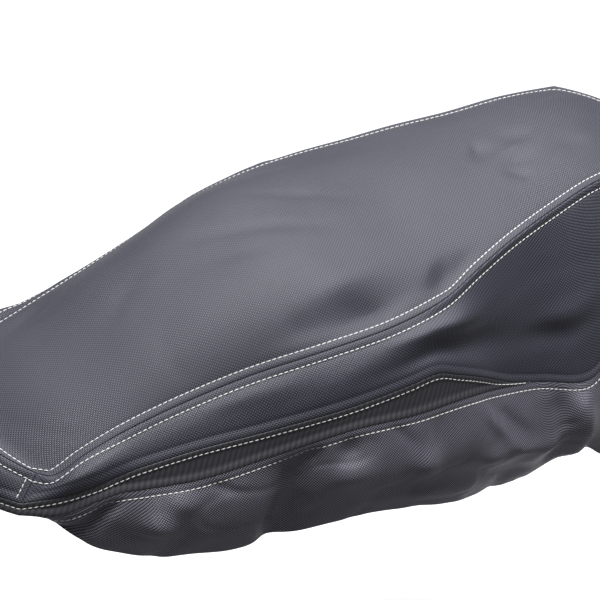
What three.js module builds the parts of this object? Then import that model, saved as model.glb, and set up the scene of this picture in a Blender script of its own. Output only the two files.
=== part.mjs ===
import * as THREE from 'three';

// Fitted seat cover, sewn from vinyl panels with a woven skirt below them.
// Millimetres, +X to the front of the seat, +Y to its left, +Z up.
// The tables measure x from the rear corners of the top panel and z from the
// seat base. The origin is under the middle of the top, on its inner face.
const originX = 360;
const originZ = 197.6;

const panelThick = 1.8;
const skirtThick = 1.4;
const seamGap = 0.34;
const seamDip = 1.1;
const seamRidge = 1.5;
const seamFlat = 2.6;
const seamSewn = 8.8;

// Main seam and crown of the top panel, one row for each section.
// The crown falls to the seams by a rounded shoulder, squarer as shoulder grows.
const topSections = [
  { at: 0, seamY: 104, seamZ: 87, crown: 16, shoulder: 2.2 },
  { at: 12, seamY: 111, seamZ: 83.5, crown: 16, shoulder: 2.2 },
  { at: 25, seamY: 113, seamZ: 87, crown: 17, shoulder: 2.2 },
  { at: 45, seamY: 112, seamZ: 94.5, crown: 18, shoulder: 2.3 },
  { at: 90, seamY: 113, seamZ: 107, crown: 25, shoulder: 2.5 },
  { at: 150, seamY: 118, seamZ: 120, crown: 41, shoulder: 2.9 },
  { at: 220, seamY: 128, seamZ: 133, crown: 51, shoulder: 3.2 },
  { at: 300, seamY: 145, seamZ: 145, crown: 55, shoulder: 3.2 },
  { at: 370, seamY: 152, seamZ: 151, crown: 48, shoulder: 2.9 },
  { at: 430, seamY: 147, seamZ: 157, crown: 38, shoulder: 2.5 },
  { at: 480, seamY: 132, seamZ: 166, crown: 31, shoulder: 2.2 },
  { at: 530, seamY: 118, seamZ: 175, crown: 24, shoulder: 2.1 },
  { at: 590, seamY: 103, seamZ: 181, crown: 21, shoulder: 2.1 },
  { at: 650, seamY: 92, seamZ: 187, crown: 20, shoulder: 2.1 },
  { at: 722, seamY: 84, seamZ: 183, crown: 20, shoulder: 2.2 },
];

// Lower seam, and puff of the panel above it.
const flankSections = [
  { at: 0, lowX: -27, lowY: 117, lowZ: 57, puff: 6 },
  { at: 20, lowX: 8, lowY: 132, lowZ: 52, puff: 12 },
  { at: 45, lowX: 45, lowY: 139, lowZ: 58, puff: 13 },
  { at: 70, lowX: 70, lowY: 142, lowZ: 60, puff: 9 },
  { at: 90, lowX: 90, lowY: 147, lowZ: 59, puff: 5 },
  { at: 150, lowX: 150, lowY: 160, lowZ: 56, puff: 5 },
  { at: 220, lowX: 220, lowY: 171, lowZ: 62, puff: 6 },
  { at: 300, lowX: 300, lowY: 188, lowZ: 73, puff: 8 },
  { at: 370, lowX: 370, lowY: 194, lowZ: 67, puff: 8 },
  { at: 430, lowX: 430, lowY: 192, lowZ: 61, puff: 8 },
  { at: 480, lowX: 480, lowY: 180, lowZ: 43.5, puff: 6 },
  { at: 530, lowX: 530, lowY: 178, lowZ: 30, puff: 5 },
  { at: 590, lowX: 590, lowY: 186, lowZ: 12, puff: 6 },
  { at: 625, lowX: 627, lowY: 176, lowZ: 24, puff: 7 },
  { at: 660, lowX: 665, lowY: 157, lowZ: 48, puff: 8 },
  { at: 722, lowX: 738, lowY: 126, lowZ: 72, puff: 8 },
];

// Width of the grip band, which has a corner before it runs out to its tip.
const gripSections = [
  { at: 0, wide: 12 },
  { at: 20, wide: 19 },
  { at: 45, wide: 16 },
  { at: 70, wide: 18 },
  { at: 90, wide: 23 },
  { at: 150, wide: 32 },
  { at: 220, wide: 28 },
  { at: 300, wide: 25 },
  { at: 370, wide: 35 },
  { at: 400, wide: 38 },
  { at: 425, wide: 29 },
  { at: 466, wide: 15.5 },
  { at: 498, wide: 4.5 },
  { at: 520, wide: 0.9 },
];

// Hem of the skirt, and how full the cloth hangs between it and its seam.
const hemSections = [
  { at: 0, hemX: -6, hemY: 108, hemZ: 50, full: 1 },
  { at: 20, hemX: 12, hemY: 128, hemZ: 28, full: 2 },
  { at: 45, hemX: 43, hemY: 142, hemZ: -1, full: 5 },
  { at: 90, hemX: 90, hemY: 153, hemZ: -26, full: 12 },
  { at: 150, hemX: 150, hemY: 167, hemZ: -38, full: 13 },
  { at: 220, hemX: 220, hemY: 180, hemZ: -46, full: 9 },
  { at: 300, hemX: 300, hemY: 196, hemZ: -37, full: 13 },
  { at: 370, hemX: 370, hemY: 200, hemZ: -53, full: 14 },
  { at: 430, hemX: 430, hemY: 192, hemZ: -82, full: 20 },
  { at: 480, hemX: 480, hemY: 172, hemZ: -104, full: 29 },
  { at: 530, hemX: 530, hemY: 164, hemZ: -119, full: 32 },
  { at: 590, hemX: 590, hemY: 184, hemZ: -84, full: 18 },
  { at: 625, hemX: 627, hemY: 186, hemZ: -110, full: 8 },
  { at: 660, hemX: 667, hemY: 170, hemZ: -102, full: 7 },
  { at: 722, hemX: 744, hemY: 134, hemZ: -74, full: 5 },
];
const gripTip = gripSections[gripSections.length - 1].at;
const gripUpright = 0.5;

// How far each rail bows out past its corners, and how much its middle lifts.
const rearEnd = {
  seam: { bow: 38, round: 2.2, lift: 14 },
  low: { bow: 42, round: 2.4, lift: 4 },
  hem: { bow: 34, round: 2.4, lift: 2 },
};
const frontEnd = {
  seam: { bow: 44, round: 2, lift: -6 },
  low: { bow: 34, round: 2.2, lift: 0 },
  hem: { bow: 32, round: 2.2, lift: 0 },
};
const endShoulder = 70;
const endPuff = 6;

const lengthSteps = 46;
const crossSteps = 20;
const edgeSteps = [3, 8];
const edgeShares = [0.024, 0.065];
const panelRows = 4;
const bandShares = [0, 0.3, 0.7, 1];
const skirtRows = 6;

const cloths = {
  vinyl: new THREE.MeshStandardMaterial({ color: 0x55565c, roughness: 0.62, metalness: 0 }),
  grip: new THREE.MeshStandardMaterial({ color: 0x37373a, roughness: 0.5, metalness: 0 }),
  woven: new THREE.MeshStandardMaterial({ color: 0x3f3e43, roughness: 0.55, metalness: 0 }),
};

// Value of one column of a table at a distance, smooth through the rows.
function columnAt(table, key, at) {
  const last = table.length - 1;
  let row = 0;
  while (row < last - 1 && at > table[row + 1].at) {
    row += 1;
  }
  const a = table[row];
  const b = table[row + 1];
  const span = b.at - a.at;
  const t = Math.min(1, Math.max(0, (at - a.at) / span));
  const slopeAt = (k) => {
    const before = table[Math.max(0, k - 1)];
    const after = table[Math.min(last, k + 1)];
    return (after[key] - before[key]) / (after.at - before.at);
  };
  const h = t * t * (3 - 2 * t);
  const startPull = t * (1 - t) * (1 - t) * span * slopeAt(row);
  const endPull = t * t * (t - 1) * span * slopeAt(row + 1);
  return a[key] * (1 - h) + b[key] * h + startPull + endPull;
}

const length = topSections[topSections.length - 1].at;

// Distances along the length, closer together beside the end seams.
function lengthLines() {
  const first = edgeSteps[edgeSteps.length - 1];
  const lines = [0, ...edgeSteps.slice(0, -1)];
  for (let k = 0; k <= lengthSteps; k += 1) {
    lines.push(first + (k / lengthSteps) * (length - 2 * first));
  }
  lines.push(...edgeSteps.slice(0, -1).reverse().map((d) => length - d), length);
  return lines;
}

// Shares across the width from the right seam at -1 to the left one at 1.
function crossLines() {
  const first = 1 - edgeShares[edgeShares.length - 1];
  const lines = [-1, ...edgeShares.slice(0, -1).map((d) => d - 1)];
  for (let k = 0; k <= crossSteps; k += 1) {
    lines.push(first * (2 * (k / crossSteps) - 1));
  }
  lines.push(...edgeShares.slice(0, -1).reverse().map((d) => 1 - d), 1);
  return lines;
}

const alongs = lengthLines();
const acrosses = crossLines();

function endBow(end, v) {
  return end.bow * (1 - Math.abs(v) ** end.round);
}

const railTables = { seam: topSections, low: flankSections, hem: hemSections };

// The point of a rail on a side (v at -1 or 1) or on an end of the cover.
function railPoint(rail, at, v) {
  const table = railTables[rail];
  const x = rail === 'seam' ? at : columnAt(table, `${rail}X`, at);
  const y = columnAt(table, `${rail}Y`, at);
  const z = columnAt(table, `${rail}Z`, at);
  const point = new THREE.Vector3(x, v * y, z);
  if (Math.abs(v) < 1) {
    const rear = at < length / 2;
    const end = rear ? rearEnd[rail] : frontEnd[rail];
    point.x += (rear ? -1 : 1) * endBow(end, v);
    point.z += end.lift * (1 - v * v);
  }
  return point;
}

// Top edge of the grip band, steeper above the lower seam than the panel is.
function bandPoint(at, v) {
  const low = railPoint('low', at, v);
  const lean = railPoint('seam', at, v).sub(low);
  lean.x *= gripUpright;
  lean.y *= gripUpright;
  const wide = at > gripTip ? 0 : columnAt(gripSections, 'wide', at);
  return low.addScaledVector(lean.normalize(), wide);
}

function endShare(distance) {
  return 1 - (1 - Math.min(1, distance / endShoulder)) ** 2.4;
}

// The top panel over its four seams.
function topPoint(at, v) {
  const rearShare = (1 - Math.min(1, at / 200)) ** 2;
  const frontShare = (1 - Math.min(1, (length - at) / 160)) ** 2;
  const y = columnAt(topSections, 'seamY', at);
  const seamZ = columnAt(topSections, 'seamZ', at);
  const crown = columnAt(topSections, 'crown', at);
  const shoulder = columnAt(topSections, 'shoulder', at);
  const side = 1 - Math.abs(v) ** shoulder;
  const rise = crown * side * endShare(at) * endShare(length - at);
  const ends = (rearEnd.seam.lift * rearShare + frontEnd.seam.lift * frontShare) * (1 - v * v);
  const x = at - endBow(rearEnd.seam, v) * rearShare + endBow(frontEnd.seam, v) * frontShare;
  return new THREE.Vector3(x, v * y, seamZ + rise + ends);
}

// Soft dents (negative) and puffs of the top panel, in millimetres.
const topRelief = [
  { x: 344, y: -135, long: 48, wide: 17, turn: 4, depth: -10 },
  { x: 446, y: -137, long: 26, wide: 13, turn: 17, depth: -11 },
  { x: 284, y: 10, long: 80, wide: 9, turn: -26, depth: -2.4 },
  { x: 569, y: -3, long: 16, wide: 11, turn: 20, depth: -2.6 },
  { x: 613, y: 4, long: 15, wide: 11, turn: -12, depth: -2.6 },
  { x: 591, y: -33, long: 18, wide: 10, turn: 8, depth: -2.2 },
  { x: 659, y: -36, long: 18, wide: 11, turn: -10, depth: -2.2 },
  { x: 76, y: 77, long: 38, wide: 14, turn: 14, depth: -4 },
  { x: 400, y: 108, long: 60, wide: 16, turn: -8, depth: -3 },
];

// The same for the side panels; up runs from 0 at the band to 1 at the seam.
const sideRelief = [
  { side: -1, at: 208, up: 0.74, long: 44, tall: 0.2, depth: 3 },
  { side: -1, at: 388, up: 0.78, long: 34, tall: 0.14, depth: 5 },
  { side: -1, at: 428, up: 0.72, long: 40, tall: 0.13, depth: 9 },
  { side: -1, at: 436, up: 0.34, long: 75, tall: 0.16, depth: -9 },
  { side: -1, at: 575, up: 0.42, long: 36, tall: 0.06, depth: 4 },
  { side: -1, at: 562, up: 0.31, long: 38, tall: 0.07, depth: -4.5 },
  { side: 1, at: 30, up: 0.8, long: 40, tall: 0.25, depth: 8 },
  { side: 1, at: 190, up: 0.7, long: 60, tall: 0.3, depth: -4 },
  { side: 1, at: 400, up: 0.66, long: 46, tall: 0.22, depth: 4 },
  { side: 1, at: 490, up: 0.4, long: 50, tall: 0.22, depth: -6 },
  { side: 1, at: 600, up: 0.5, long: 36, tall: 0.14, depth: -4 },
];

// Folds of the skirt: where each starts below the seam (top) and ends above
// the hem (foot) along the length, and which share of the way down it covers.
const skirtFolds = [
  { side: -1, top: 61, foot: 14, from: 0, to: 1.2, wide: 10, depth: -9 },
  { side: -1, top: 130, foot: 112, from: 0.2, to: 1, wide: 13, depth: -3 },
  { side: -1, top: 150, foot: 262, from: 0, to: 0.35, wide: 8, depth: -5 },
  { side: -1, top: 246, foot: 216, from: 0, to: 1.3, wide: 18, depth: -11 },
  { side: -1, top: 296, foot: 300, from: 0, to: 0.3, wide: 9, depth: -4 },
  { side: -1, top: 342, foot: 420, from: 0, to: 0.35, wide: 7, depth: -5 },
  { side: -1, top: 440, foot: 560, from: 0, to: 0.5, wide: 9, depth: 4 },
  { side: -1, top: 462, foot: 580, from: 0, to: 0.45, wide: 8, depth: -3 },
  { side: -1, top: 552, foot: 556, from: 0, to: 1, wide: 14, depth: -6 },
  { side: -1, top: 578, foot: 582, from: 0, to: 1.3, wide: 12, depth: 8 },
  { side: -1, top: 636, foot: 640, from: 0, to: 1.1, wide: 18, depth: -6 },
  { side: 1, top: 70, foot: 56, from: 0, to: 1.2, wide: 14, depth: -6 },
  { side: 1, top: 130, foot: 140, from: 0, to: 1.1, wide: 24, depth: 5 },
  { side: 1, top: 196, foot: 180, from: 0, to: 1.2, wide: 12, depth: -8 },
  { side: 1, top: 262, foot: 270, from: 0.2, to: 1.1, wide: 22, depth: 5 },
  { side: 1, top: 318, foot: 300, from: 0, to: 0.8, wide: 12, depth: -6 },
  { side: 1, top: 372, foot: 380, from: 0, to: 1.1, wide: 26, depth: 6 },
  { side: 1, top: 440, foot: 424, from: 0, to: 1.2, wide: 12, depth: -8 },
  { side: 1, top: 492, foot: 500, from: 0.3, to: 1.1, wide: 20, depth: 6 },
  { side: 1, top: 546, foot: 548, from: 0, to: 1.2, wide: 13, depth: -7 },
  { side: 1, top: 600, foot: 606, from: 0, to: 1.1, wide: 16, depth: 6 },
  { side: 1, top: 656, foot: 650, from: 0, to: 1.1, wide: 16, depth: -5 },
];

// Puffs and hollows of the skirt; down runs from 0 at its seam to 1 at the hem.
const skirtPuffs = [
  { side: -1, at: 96, down: 0.46, long: 18, tall: 0.2, depth: 9 },
  { side: -1, at: 122, down: 0.2, long: 14, tall: 0.14, depth: 4 },
  { side: -1, at: 232, down: 0.82, long: 32, tall: 0.34, depth: -7 },
  { side: -1, at: 258, down: 0.1, long: 9, tall: 0.1, depth: -4 },
  { side: -1, at: 294, down: 0.42, long: 24, tall: 0.12, depth: 6 },
  { side: -1, at: 294, down: 0.2, long: 14, tall: 0.1, depth: -3 },
  { side: -1, at: 374, down: 0.46, long: 17, tall: 0.15, depth: 9 },
  { side: -1, at: 385, down: 0.82, long: 70, tall: 0.08, depth: 4 },
  { side: -1, at: 425, down: 0.62, long: 40, tall: 0.14, depth: -5 },
  { side: -1, at: 462, down: 0.5, long: 22, tall: 0.09, depth: 5 },
  { side: -1, at: 500, down: 0.42, long: 26, tall: 0.09, depth: 6 },
  { side: -1, at: 540, down: 0.46, long: 22, tall: 0.09, depth: 5 },
  { side: -1, at: 500, down: 0.75, long: 60, tall: 0.18, depth: -8 },
  { side: 1, at: 120, down: 0.4, long: 22, tall: 0.3, depth: 6 },
  { side: 1, at: 240, down: 0.5, long: 30, tall: 0.25, depth: -6 },
  { side: 1, at: 330, down: 0.4, long: 24, tall: 0.2, depth: 7 },
  { side: 1, at: 470, down: 0.5, long: 30, tall: 0.2, depth: 6 },
  { side: 1, at: 560, down: 0.6, long: 26, tall: 0.2, depth: -6 },
  { side: 1, at: 650, down: 0.4, long: 24, tall: 0.25, depth: 5 },
];

function bell(distance, width) {
  return Math.exp(-((distance / width) ** 2));
}

function topReliefAt(x, y) {
  return topRelief.reduce((sum, spot) => {
    const turn = (spot.turn * Math.PI) / 180;
    const dx = x - spot.x;
    const dy = y - spot.y;
    const along = dx * Math.cos(turn) + dy * Math.sin(turn);
    const across = dy * Math.cos(turn) - dx * Math.sin(turn);
    return sum + spot.depth * bell(along, spot.long) * bell(across, spot.wide);
  }, 0);
}

function sideReliefAt(side, at, up) {
  return sideRelief.filter((spot) => spot.side === side).reduce(
    (sum, spot) => sum + spot.depth * bell(at - spot.at, spot.long) * bell(up - spot.up, spot.tall),
    0,
  );
}

function ramp(t) {
  const c = Math.min(1, Math.max(0, t));
  return c * c * (3 - 2 * c);
}

// The folds and puffs die out at the seam, and folds keep about half their depth at the hem.
function skirtReliefAt(side, at, down) {
  const folds = skirtFolds.filter((fold) => fold.side === side).reduce((sum, fold) => {
    const line = fold.top + (fold.foot - fold.top) * down;
    const reach = ramp((down - fold.from) / 0.25) * ramp((fold.to - down) / 0.35);
    return sum + fold.depth * bell(at - line, fold.wide) * reach;
  }, 0);
  const puffs = skirtPuffs.filter((spot) => spot.side === side).reduce(
    (sum, spot) => sum + spot.depth * bell(at - spot.at, spot.long) * bell(down - spot.down, spot.tall),
    0,
  );
  return folds + puffs * ramp(down / 0.12);
}

// Columns round the cover, from the rear right corner by the right side,
// the front, the left side and the rear. Each closes on the next one.
const columns = [
  ...alongs.slice(0, -1).map((at) => ({ at, v: -1, side: -1 })),
  ...acrosses.slice(0, -1).map((v) => ({ at: length, v, side: 0 })),
  ...alongs.slice(1).reverse().map((at) => ({ at, v: 1, side: 1 })),
  ...acrosses.slice(1).reverse().map((v) => ({ at: 0, v, side: 0 })),
];

function ease(t) {
  return Math.sin(Math.PI * Math.min(1, Math.max(0, t)));
}

// Rows of a wall between two rails of a column, moved out from the straight line.
function wallRows(column, lower, upper, sharesOf, outAt) {
  const rise = new THREE.Vector3().subVectors(upper, lower);
  const out = outwardOf(column, rise);
  const tall = rise.length();
  return sharesOf(tall).map((share) => {
    const point = lower.clone().addScaledVector(rise, share).addScaledVector(out, outAt(share));
    return { point, share, tall };
  });
}

function panelShares(tall) {
  const first = Math.min(0.2, edgeSteps[1] / tall);
  const lip = Math.min(0.08, edgeSteps[0] / tall);
  const inner = [];
  for (let k = 0; k <= panelRows; k += 1) {
    inner.push(first + (k / panelRows) * (1 - 2 * first));
  }
  return [0, lip, ...inner, 1 - lip, 1];
}

function skirtShares(tall) {
  const first = Math.min(0.2, edgeSteps[1] / tall);
  const lip = Math.min(0.08, edgeSteps[0] / tall);
  const inner = [];
  for (let k = 0; k <= skirtRows; k += 1) {
    inner.push((k / skirtRows) * (1 - first));
  }
  return [...inner, 1 - lip, 1];
}

// Across the wall of a column, away from the inside, from its rise between two rails.
function outwardOf(column, rise) {
  if (column.side !== 0) {
    return new THREE.Vector3(0, column.side * rise.z, -column.side * rise.y).normalize();
  }
  const sign = column.at < length / 2 ? -1 : 1;
  return new THREE.Vector3(sign * rise.z, 0.6 * column.v * rise.z, -sign * rise.x).normalize();
}

function columnRows(column) {
  const { at, v, side } = column;
  const hem = railPoint('hem', at, v);
  const low = railPoint('low', at, v);
  const band = bandPoint(at, v);
  const seam = railPoint('seam', at, v);
  const fade = side === 0 ? 1 - Math.abs(v) ** 6 : Math.min(1, at / 30, (length - at) / 30);
  const panelPuff = side === 0 ? endPuff : columnAt(flankSections, 'puff', at);
  const skirtPuff = side === 0 ? endPuff : columnAt(hemSections, 'full', at);
  const panelOut = (up) => panelPuff * ease(up) + sideReliefAt(side, at, up) * ease(up);
  const skirtOut = (up) => skirtPuff * ease(up) + skirtReliefAt(side, at, 1 - up);
  return {
    skirt: wallRows(column, hem, low, skirtShares, (up) => fade * skirtOut(up)),
    band: wallRows(column, low, band, () => bandShares, () => 0),
    panel: wallRows(column, band, seam, panelShares, (up) => fade * panelOut(up)),
  };
}

const ring = columns.map(columnRows);

// A patch is a grid of points whose first index runs round or along the cover
// and whose second one runs up or to the left, so its faces look outward.
function ringPatch(from, to, part) {
  const total = columns.length;
  const picked = [];
  for (let k = from; k <= to; k += 1) {
    picked.push(((k % total) + total) % total);
  }
  return picked.map((k) => ring[k][part].map((row) => ({
    point: row.point,
    toLower: row.share * row.tall,
    toUpper: (1 - row.share) * row.tall,
    toEnd: Infinity,
  })));
}

// Tells each point of a panel how far it is from the seams at its two ends.
function measureEnds(patch) {
  const last = patch.length - 1;
  patch.forEach((line) => line.forEach((node, j) => {
    const toFirst = node.point.distanceTo(patch[0][j].point);
    const toLast = node.point.distanceTo(patch[last][j].point);
    node.toEnd = Math.min(toFirst, toLast);
  }));
  return patch;
}

function topPatch() {
  const grid = alongs.map((at) => acrosses.map((v) => {
    const point = topPoint(at, v);
    point.z += topReliefAt(point.x, point.y) * Math.min(1, 8 * (1 - Math.abs(v)));
    return { point };
  }));
  grid.forEach((line) => line.forEach((node) => {
    node.toLower = node.point.distanceTo(line[0].point);
    node.toUpper = node.point.distanceTo(line[line.length - 1].point);
  }));
  return measureEnds(grid);
}

const frontRight = alongs.length - 1;
const frontLeft = frontRight + acrosses.length - 1;
const rearLeft = frontLeft + alongs.length - 1;
const rearRight = columns.length;
const tipRight = columns.findIndex((column) => column.side === -1 && column.at > gripTip) - 1;
const tipLeft = frontLeft + (frontRight - tipRight);

const wallPanel = (from, to) => measureEnds(ringPatch(from, to, 'panel'));

const patches = [
  { name: 'top_panel', grid: topPatch(), cloth: 'vinyl', thick: panelThick },
  { name: 'side_panel_right', grid: wallPanel(0, frontRight), cloth: 'vinyl', thick: panelThick },
  {
    name: 'front_panel',
    grid: wallPanel(frontRight, frontLeft),
    cloth: 'vinyl',
    thick: panelThick,
  },
  {
    name: 'side_panel_left',
    grid: wallPanel(frontLeft, rearLeft),
    cloth: 'vinyl',
    thick: panelThick,
  },
  { name: 'rear_panel', grid: wallPanel(rearLeft, rearRight), cloth: 'vinyl', thick: panelThick },
  {
    name: 'grip_band',
    grid: ringPatch(tipLeft, rearRight + tipRight, 'band'),
    cloth: 'grip',
    thick: panelThick,
  },
  {
    name: 'skirt',
    grid: ringPatch(0, columns.length, 'skirt'),
    cloth: 'woven',
    thick: skirtThick,
    hemmed: true,
  },
];

// Panels that meet share these places, rounded to a fiftieth of a millimetre.
const keyOf = (p) => `${Math.round(p.x * 50)},${Math.round(p.y * 50)},${Math.round(p.z * 50)}`;

// One normal for each place of the whole cover, shared by the panels that meet there.
function sharedNormals() {
  const normals = new Map();
  patches.forEach(({ grid }) => {
    for (let i = 0; i < grid.length - 1; i += 1) {
      for (let j = 0; j < grid[i].length - 1; j += 1) {
        const corners = [grid[i][j], grid[i + 1][j], grid[i + 1][j + 1], grid[i][j + 1]]
          .map((node) => node.point);
        const across = new THREE.Vector3().subVectors(corners[2], corners[0]);
        const up = new THREE.Vector3().subVectors(corners[3], corners[1]);
        const face = new THREE.Vector3().crossVectors(across, up).normalize();
        corners.forEach((corner) => {
          const key = keyOf(corner);
          const sum = normals.get(key) || new THREE.Vector3();
          normals.set(key, sum.add(face));
        });
      }
    }
  });
  normals.forEach((sum) => sum.normalize());
  return normals;
}

const normals = sharedNormals();

// Height of the cloth beside a seam: a ridge of folded allowances as far as the
// topstitching, turned in at the seam itself.
function seamProfile(distance) {
  const dip = seamDip * Math.max(0, 1 - distance / 1.3);
  return seamRidge * (1 - ramp((distance - seamFlat) / (seamSewn - seamFlat))) - dip;
}

// Nearest sewn edge of a point; the foot of the hemmed cloth is free.
function seamDistanceOf(node, hemmed) {
  return Math.min(hemmed ? Infinity : node.toLower, node.toUpper, node.toEnd);
}

// Moves a point along the cloth, half a seam's gap towards its neighbour.
function drawBack(place, from, to, normal) {
  const step = new THREE.Vector3().subVectors(to, from);
  step.addScaledVector(normal, -step.dot(normal));
  place.addScaledVector(step.normalize(), seamGap / 2);
}

// Outer and inner skins of a patch and the rims between them. The hemmed one is a ring.
function shellOf({ grid, thick, hemmed = false }) {
  const rows = grid[0].length;
  const lines = hemmed ? grid.length - 1 : grid.length;
  const outer = [];
  const inner = [];
  for (let i = 0; i < lines; i += 1) {
    for (let j = 0; j < rows; j += 1) {
      const node = grid[i][j];
      const normal = normals.get(keyOf(node.point));
      const place = node.point.clone();
      place.addScaledVector(normal, seamProfile(seamDistanceOf(node, hemmed)));
      if (i === 0 && !hemmed) {
        drawBack(place, node.point, grid[1][j].point, normal);
      }
      if (i === lines - 1 && !hemmed) {
        drawBack(place, node.point, grid[i - 1][j].point, normal);
      }
      if (j === 0 && !hemmed) {
        drawBack(place, node.point, grid[i][1].point, normal);
      }
      if (j === rows - 1) {
        drawBack(place, node.point, grid[i][j - 1].point, normal);
      }
      outer.push(place);
      inner.push(place.clone().addScaledVector(normal, -thick));
    }
  }
  const faces = [];
  const count = outer.length;
  const quad = (a, b, c, d) => faces.push([a, b, c], [a, c, d]);
  const spans = hemmed ? lines : lines - 1;
  for (let i = 0; i < spans; i += 1) {
    const low = i * rows;
    const lowNext = ((i + 1) % lines) * rows;
    for (let j = 0; j < rows - 1; j += 1) {
      const a = low + j;
      const b = lowNext + j;
      quad(a, b, b + 1, a + 1);
      quad(count + a, count + a + 1, count + b + 1, count + b);
    }
    const top = low + rows - 1;
    const topNext = lowNext + rows - 1;
    quad(low, count + low, count + lowNext, lowNext);
    quad(top, topNext, count + topNext, count + top);
  }
  if (!hemmed) {
    for (let j = 0; j < rows - 1; j += 1) {
      const end = (lines - 1) * rows + j;
      quad(j, j + 1, count + j + 1, count + j);
      quad(end, count + end, count + end + 1, end + 1);
    }
  }
  return { points: [...outer, ...inner], faces };
}

function meshOf(patch) {
  const { points, faces } = shellOf(patch);
  const geometry = new THREE.BufferGeometry();
  const flat = points.flatMap((p) => [p.x - originX, p.y, p.z - originZ]);
  geometry.setAttribute('position', new THREE.Float32BufferAttribute(flat, 3));
  geometry.setIndex(faces.flat());
  geometry.computeVertexNormals();
  const mesh = new THREE.Mesh(geometry, cloths[patch.cloth].clone());
  mesh.name = patch.name;
  return mesh;
}

const cover = new THREE.Group();
cover.name = 'snowmobile_seat_cover';
patches.forEach((patch) => cover.add(meshOf(patch)));

export default cover;
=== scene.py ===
import math
import random

import bmesh
import bpy
import numpy as np
from mathutils import Matrix, Vector, noise


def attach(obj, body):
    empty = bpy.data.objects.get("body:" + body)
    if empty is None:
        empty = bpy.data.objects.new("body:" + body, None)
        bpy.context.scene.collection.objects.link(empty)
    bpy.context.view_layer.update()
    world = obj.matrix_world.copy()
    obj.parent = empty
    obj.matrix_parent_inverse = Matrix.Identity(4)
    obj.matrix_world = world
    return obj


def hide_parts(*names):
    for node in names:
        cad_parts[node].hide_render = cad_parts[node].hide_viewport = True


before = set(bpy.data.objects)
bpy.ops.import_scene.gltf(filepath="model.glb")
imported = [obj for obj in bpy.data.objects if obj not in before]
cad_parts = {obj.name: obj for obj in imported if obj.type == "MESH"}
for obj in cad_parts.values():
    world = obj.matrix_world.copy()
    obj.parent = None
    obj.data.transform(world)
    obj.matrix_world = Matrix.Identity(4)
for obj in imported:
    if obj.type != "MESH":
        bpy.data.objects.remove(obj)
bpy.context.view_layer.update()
random.seed(11)

# The tables measure in millimetres, x from the rear corners of the top panel and z from the
# seat base. The origin is on the inner face of the top.
mm = 0.001
originX = 360
originZ = 197.6

# Main seam and crown of the top panel, a column of numbers for each size.
topSections = {
    "at": [0, 12, 25, 45, 90, 150, 220, 300, 370, 430, 480, 530, 590, 650, 722],
    "seamY": [104, 111, 113, 112, 113, 118, 128, 145, 152, 147, 132, 118, 103, 92, 84],
    "seamZ": [87, 83.5, 87, 94.5, 107, 120, 133, 145, 151, 157, 166, 175, 181, 187, 183],
    "crown": [16, 16, 17, 18, 25, 41, 51, 55, 48, 38, 31, 24, 21, 20, 20],
    "shoulder": [2.2, 2.2, 2.2, 2.3, 2.5, 2.9, 3.2, 3.2, 2.9, 2.5, 2.2, 2.1, 2.1, 2.1, 2.2],
}

# Lower seam, and puff of the panel above it.
flankSections = {
    "at": [0, 20, 45, 70, 90, 150, 220, 300, 370, 430, 480, 530, 590, 625, 660, 722],
    "lowX": [-27, 8, 45, 70, 90, 150, 220, 300, 370, 430, 480, 530, 590, 627, 665, 738],
    "lowY": [117, 132, 139, 142, 147, 160, 171, 188, 194, 192, 180, 178, 186, 176, 157, 126],
    "lowZ": [57, 52, 58, 60, 59, 56, 62, 73, 67, 61, 43.5, 30, 12, 24, 48, 72],
    "puff": [6, 12, 13, 9, 5, 5, 6, 8, 8, 8, 6, 5, 6, 7, 8, 8],
}

# Width of the grip band, which has a corner before it runs out to its tip.
gripSections = {
    "at": [0, 20, 45, 70, 90, 150, 220, 300, 370, 400, 425, 466, 498, 520],
    "wide": [12, 19, 16, 18, 23, 32, 28, 25, 35, 38, 29, 15.5, 4.5, 0.9],
}

# Hem of the skirt, and how full the cloth hangs between it and its seam.
hemSections = {
    "at": [0, 20, 45, 90, 150, 220, 300, 370, 430, 480, 530, 590, 625, 660, 722],
    "hemX": [-6, 12, 43, 90, 150, 220, 300, 370, 430, 480, 530, 590, 627, 667, 744],
    "hemY": [108, 128, 142, 153, 167, 180, 196, 200, 192, 172, 164, 184, 186, 170, 134],
    "hemZ": [50, 28, -1, -26, -38, -46, -37, -53, -82, -104, -119, -84, -110, -102, -74],
    "full": [1, 2, 5, 12, 13, 9, 13, 14, 20, 29, 32, 18, 8, 7, 5],
}

# Share of the wall's lean that the grip band has: with 0 it would stand upright.
gripUpright = 0.5
railTables = {"seam": topSections, "low": flankSections, "hem": hemSections}

# How far each rail bows out past its corners, and how much its middle lifts.
rearEnd = {
    "seam": {"bow": 38, "round": 2.2, "lift": 14},
    "low": {"bow": 42, "round": 2.4, "lift": 4},
    "hem": {"bow": 34, "round": 2.4, "lift": 2},
}
frontEnd = {
    "seam": {"bow": 44, "round": 2, "lift": -6},
    "low": {"bow": 34, "round": 2.2, "lift": 0},
    "hem": {"bow": 32, "round": 2.2, "lift": 0},
}
coverLength = topSections["at"][-1]

# How far the end panels, and the skirt below them, stand out at half their height.
endPuff = 6

# How the top panel comes up from its ends, and how far in their bow still bends it.
topEnds = {
    "shoulder": 70,
    "shoulderRound": 2.4,
    "rearReach": 200,
    "frontReach": 160,
    "reliefFade": 0.125,     # share of the half width where dents die out beside the seam
}

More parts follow.
